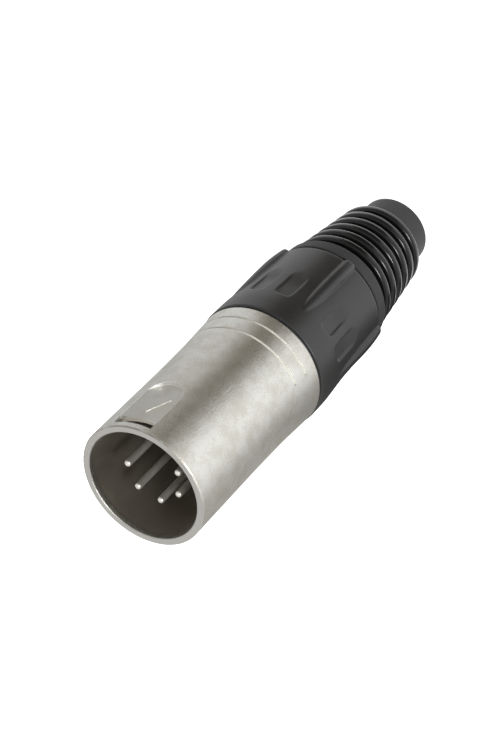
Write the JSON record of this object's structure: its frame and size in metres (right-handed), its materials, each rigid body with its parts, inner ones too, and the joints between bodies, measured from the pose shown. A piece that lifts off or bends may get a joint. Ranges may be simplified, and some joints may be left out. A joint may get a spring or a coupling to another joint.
{
  "type": "xlr plug",
  "caption": "Round male audio cable plug: plated metal shell with latch recess, contacts in a deep mouth, ribbed screw-on back nut and flexible cable boot.",
  "frame": {"origin": "centre of the boot's flat end face, which the plug stands on", "axes": "+Z along the plug's axis from the cable end up to the mouth; the latch recess faces -Y and the middle contact stands at +Y"},
  "size_m": [0.0202, 0.0204, 0.0718],
  "materials": {
    "plated_zinc": "satin nickel plate on die-cast zinc",
    "black_nylon": "moulded black polyamide",
    "plated_contact": "turned brass, silver plated",
    "spring_bronze": "tinned spring bronze strip",
    "acetal": "natural acetal moulding",
    "nut_nylon": "fine matte moulded black polyamide",
    "boot_rubber": "black rubber, ribs glossy, collar and end ring matte"
  },
  "bodies": {
    "root": {"shell": "plated_zinc", "insert": "black_nylon", "pin_1": "plated_contact", "pin_2": "plated_contact", "pin_3": "plated_contact", "pin_4": "plated_contact", "pin_5": "plated_contact", "ground_contact": "spring_bronze"},
    "clamp": {"chuck": "acetal"},
    "nut": {"back_nut": "nut_nylon", "boot": "boot_rubber"}
  },
  "joints": [
    {"name": "clamp_slide", "type": "slide", "parent": "root", "child": "clamp", "axis": [0, 0, -1], "range_m": [0, 0.006]},
    {"name": "nut_turn", "type": "hinge", "parent": "clamp", "child": "nut", "pos_m": [0, 0, 0.045], "axis": [0, 0, -1], "range_deg": [0, 1430]}
  ],
  "couplings": [
    {"joint": "clamp_slide", "follows": "nut_turn", "m_per_rad": 0.00023873}
  ]
}
